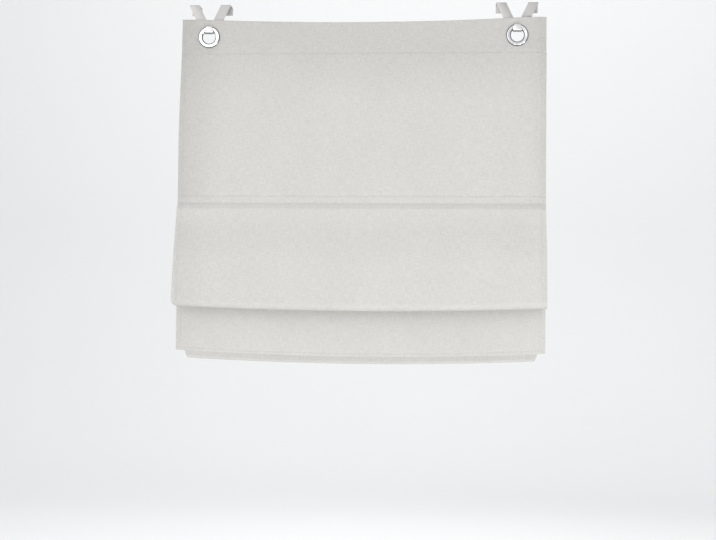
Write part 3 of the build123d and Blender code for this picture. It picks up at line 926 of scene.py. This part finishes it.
def sleeve():
    """The tube of cloth that hangs the bottom rod, pinched at its seam."""
    top = BOTTOM_Z - 0.2 * MM
    foot = SLEEVE_FOOT_Z + 0.3 * MM
    pinch = top - 8 * MM
    half = 3.65 * MM
    section = Fall(
        [(0, top), (-half, pinch), (-half, foot), (half, foot), (half, pinch), (0, top)],
        [4 * MM, 3.3 * MM, 3.3 * MM, 4 * MM],
    )

    def place(x, s, depth):
        spot = section.at(s)
        low = top - spot.y
        wave = noise.noise(Vector((x * 30, 1.0, 5.0))) * TAPE_RUMPLE * smooth(low / (6 * MM))
        pucker = noise.noise(Vector((x * 110, 9.0, s * 200))) * 0.14 * MM
        slant = 0.4 * low * max(0.0, 1 - (SLEEVE_END - abs(x)) / (30 * MM))
        y = spot.x * (1 + 0.02 * math.sin(x * 40)) + wave + pucker
        return Vector((x - math.copysign(slant, x), y, spot.y + bow(x)))

    columns = columns_across(SLEEVE_END, WIDE_COLUMN, False)
    rows = rows_round(section, 1.5 * MM)
    piece = woven_piece("bottom_sleeve_tube", columns, rows, place, sleeve_linen,
                        TAPE_THICKNESS, offset=-1, closed=True)
    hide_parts("bottom_sleeve")
    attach(piece, "second_rod")
    return piece


pocket_1 = pocket(1, ROD_1, CROSS_SEAMS[1:3], "first_rod")
pocket_2 = pocket(2, ROD_2, CROSS_SEAMS[3:5], "second_rod")
sleeve_tube = sleeve()

for name, side in SIDES.items():
    x = side * CORD.x
    upper = twisted_cord(f"{name}_lift_cord_upper", x, CORD.y, CORD_TOP_Z, ROD_1.z)
    lower = twisted_cord(f"{name}_lift_cord_lower", x, CORD.y, ROD_1.z, CORD_FOOT_Z)
    for piece in (upper, lower):
        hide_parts(f"{name}_lift_cord")
    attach(upper, "header")
    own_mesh(upper)
    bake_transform(lower)


# ---------------------------------------------------------------- eyelets, hooks, rings, locks

def eyelet_profile():
    """The pressed ring in section: rolled rim, raised band, step, throat and rolled back."""
    rim, throat = 17.6 * MM, 10.9 * MM
    step_y, back_y = -1.95 * MM, 2.7 * MM
    line = rounded_line(
        [(rim, -0.5 * MM), (rim, -1.6 * MM), (16.1 * MM, -2.55 * MM), (14.6 * MM, -2.5 * MM),
         (STEP_RADIUS, step_y), (12.6 * MM, step_y), (throat, -0.7 * MM), (throat, back_y),
         (13.6 * MM, back_y)],
        [0.7 * MM, 0.9 * MM, 0.5 * MM, 0.35 * MM, 1.0 * MM, 1.0 * MM, 0.5 * MM],
    )
    return [(p.x, p.y) for p in line]


kept_parts = {
    "back_washer": chrome,
    "header_ring": ring_plastic,
    "rod_1_ring": ring_plastic,
    "rod_2_ring": ring_plastic,
    "rod_1_cap": cap_plastic,
    "rod_2_cap": cap_plastic,
    "bottom_rod_cap": cap_plastic,
    "cord_bead": bead_plastic,
    "lock_housing": lock_plastic,
    "lock_button": button_plastic,
}
for name, side in SIDES.items():
    eyelet_centre = Vector((side * EYELET.x, 0, EYELET.z))
    ring = spun_ring(f"{name}_eyelet_ring", eyelet_profile(), eyelet_centre, 96, chrome,
                     0.7 * MM)
    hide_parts(f"{name}_front_eyelet")
    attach(ring, "header")
    hook = softened(f"{name}_sash_hook", f"{name}_forked_hook", 0.25 * MM, hook_steel)
    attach(hook, "header")
    for kept, finish in kept_parts.items():
        dress(f"{name}_{kept}", finish)
    coils = merged_copy(f"{name}_lock_spring")
    spring = new_piece(f"{name}_press_spring", coils, spring_wire)
    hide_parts(f"{name}_lock_spring")
    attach(spring, "header")
    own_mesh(spring)
dress("channel_rod_1", fibreglass)
dress("channel_rod_2", fibreglass)
dress("bottom_rod", rod_steel)


def ring_threads(kind, body):
    """Turns of thread that sew each ring to the tape or hem in front of it."""
    turns, pitch = 4, 0.55 * MM
    stand_up = Matrix.Rotation(math.pi / 2, 3, "Z") @ Matrix.Rotation(math.pi / 2, 3, "Y")
    shape = bmesh.new()
    for name in SIDES:
        low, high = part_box(f"{name}_{kind}_ring")
        centre = (low + high) / 2
        for k in range(turns):
            verts = bmesh.ops.create_circle(shape, segments=8, radius=0.2 * MM)["verts"]
            edges = list({e for v in verts for e in v.link_edges})
            x = centre.x + (k - (turns - 1) / 2) * pitch
            start = Vector((x, low.y + 0.55 * MM, centre.z + 1.3 * MM))
            bmesh.ops.rotate(shape, verts=verts, cent=(0, 0, 0), matrix=stand_up)
            bmesh.ops.translate(shape, verts=verts, vec=start)
            pivot = Vector((start.x, start.y, centre.z))
            bmesh.ops.spin(shape, geom=verts + edges, cent=pivot, axis=(1, 0, 0),
                           angle=2 * math.pi, steps=20, use_merge=True)
    bmesh.ops.remove_doubles(shape, verts=shape.verts, dist=0.005 * MM)
    bmesh.ops.recalc_face_normals(shape, faces=shape.faces)
    piece = new_piece(f"{kind}_ring_threads", shape, thread)
    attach(piece, body)


ring_threads("rod_1", "first_rod")
ring_threads("rod_2", "second_rod")
ring_threads("header", "header")

add_camera()
add_surroundings()
